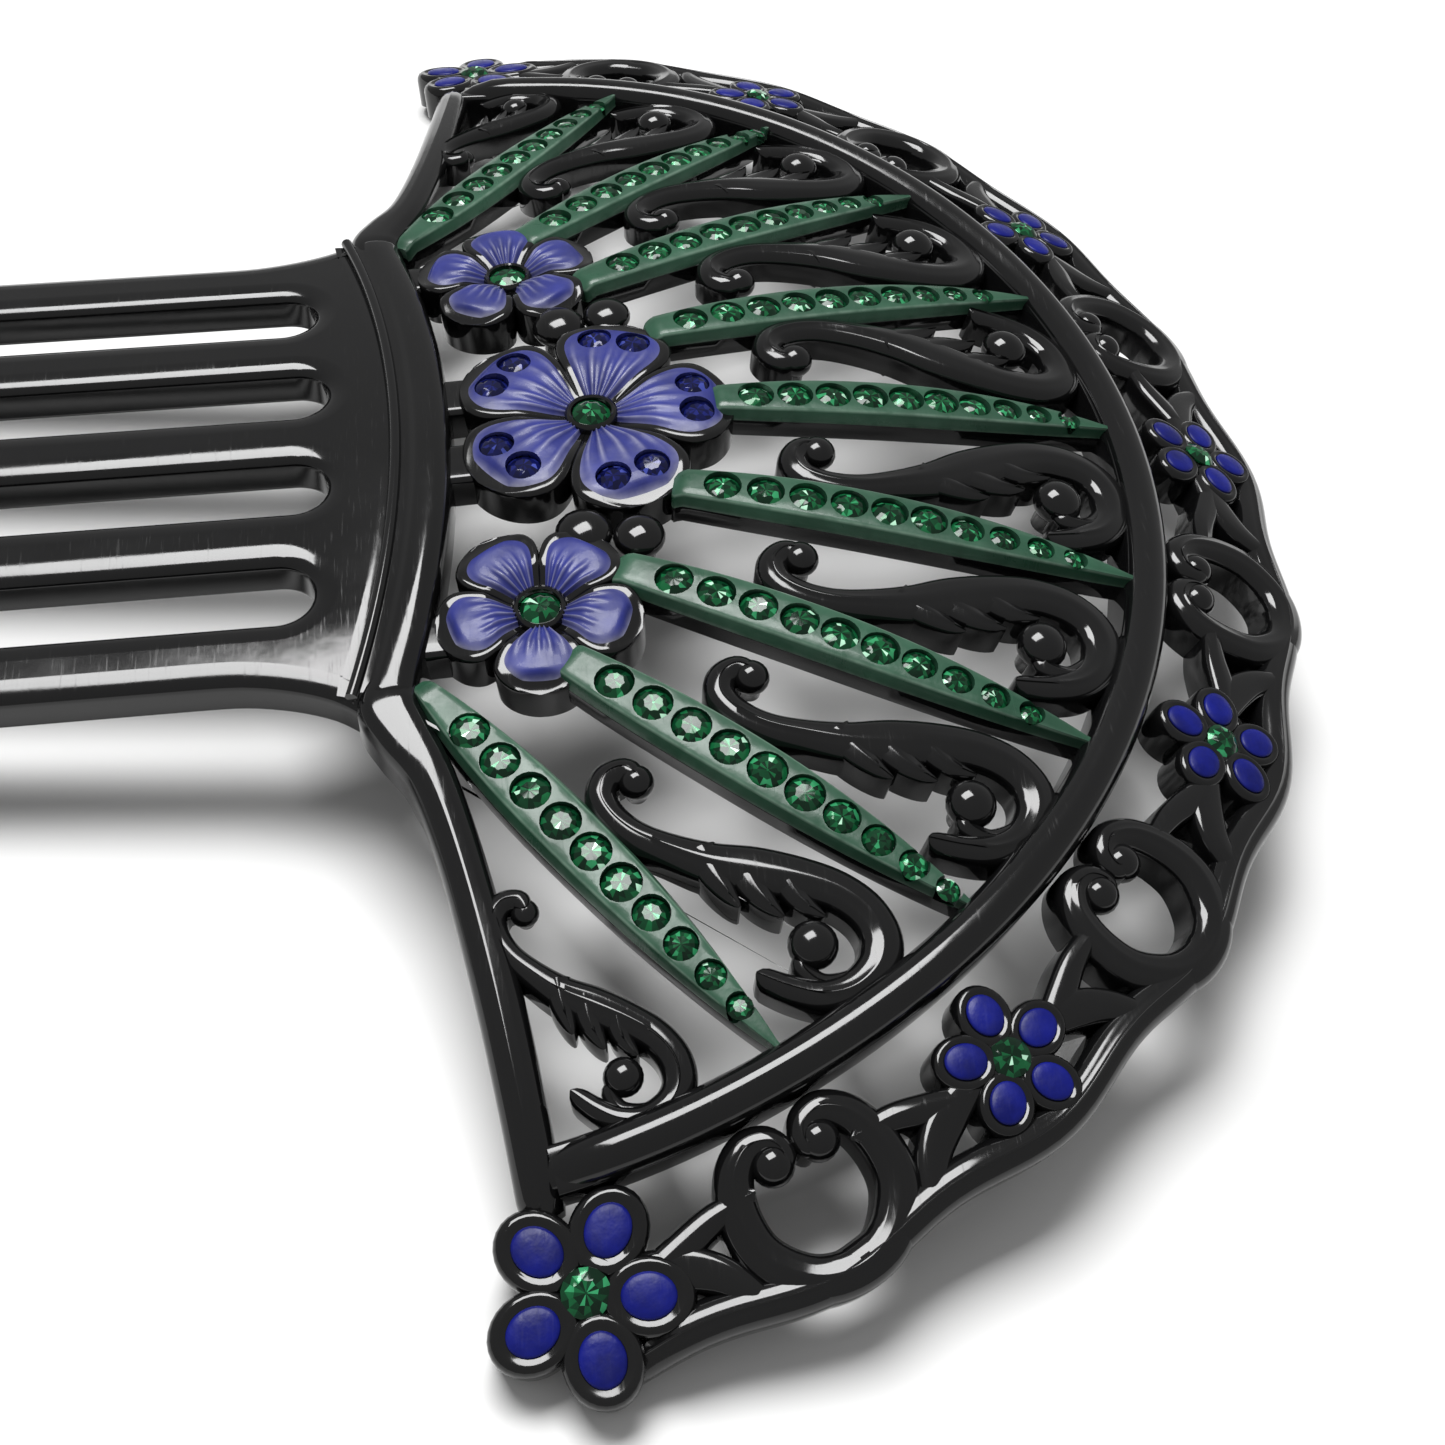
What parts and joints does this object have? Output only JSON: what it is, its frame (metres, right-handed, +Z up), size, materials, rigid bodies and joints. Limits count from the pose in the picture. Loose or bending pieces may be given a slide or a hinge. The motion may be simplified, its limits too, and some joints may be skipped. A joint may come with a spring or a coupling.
{
  "type": "decorative hair comb",
  "caption": "Arched hair comb with long straight teeth and an openwork fan of enamelled leaves, scrolls and flowers set with glass stones.",
  "frame": {"origin": "middle of the bounding box in X and Y, on the table the comb lies on, face up", "axes": "+X across the comb, +Y from the tooth tips to the top of the fan, +Z up, out of the decorated face"},
  "size_m": [0.1338, 0.1642, 0.0172],
  "materials": {
    "black_celluloid": "polished, with fine scratches and worn edges",
    "green_enamel": "glossy enamel, worn pale at the edges",
    "violet_enamel": "satin enamel over carved lines, worn pale at the edges",
    "blue_enamel": "glossy enamel",
    "green_glass": "faceted and foil backed",
    "blue_glass": "faceted and foil backed"
  },
  "bodies": {
    "root": {"tooth_1": "black_celluloid", "tooth_2": "black_celluloid", "tooth_3": "black_celluloid", "tooth_4": "black_celluloid", "tooth_5": "black_celluloid", "tooth_root": "black_celluloid", "collar_bead": "black_celluloid", "collar": "black_celluloid", "rail_left": "black_celluloid", "rail_right": "black_celluloid", "inner_rib": "black_celluloid", "leaf_1": "black_celluloid", "leaf_2": "black_celluloid", "leaf_3": "black_celluloid", "leaf_4": "black_celluloid", "leaf_5": "black_celluloid", "leaf_6": "black_celluloid", "leaf_7": "black_celluloid", "leaf_8": "black_celluloid", "leaf_9": "black_celluloid", "middle_flower": "black_celluloid", "side_flower_left": "black_celluloid", "side_flower_right": "black_celluloid", "ball_beads": "black_celluloid", "scroll_1": "black_celluloid", "scroll_2": "black_celluloid", "scroll_3": "black_celluloid", "scroll_4": "black_celluloid", "scroll_5": "black_celluloid", "scroll_6": "black_celluloid", "scroll_7": "black_celluloid", "scroll_8": "black_celluloid", "scroll_9": "black_celluloid", "scroll_10": "black_celluloid", "outer_rim": "black_celluloid", "loop_1": "black_celluloid", "loop_2": "black_celluloid", "loop_3": "black_celluloid", "loop_4": "black_celluloid", "loop_5": "black_celluloid", "loop_6": "black_celluloid", "border_flower_1": "black_celluloid", "border_flower_2": "black_celluloid", "border_flower_3": "black_celluloid", "border_flower_4": "black_celluloid", "border_flower_5": "black_celluloid", "border_flower_6": "black_celluloid", "border_flower_7": "black_celluloid", "leaf_enamel": "green_enamel", "middle_flower_enamel": "violet_enamel", "side_flower_enamel": "violet_enamel", "border_enamel": "blue_enamel", "leaf_stones_left": "green_glass", "leaf_stones_middle": "green_glass", "leaf_stones_right": "green_glass", "flower_centre_stones": "green_glass", "border_stones": "green_glass", "petal_stones": "blue_glass"}
  },
  "joints": []
}
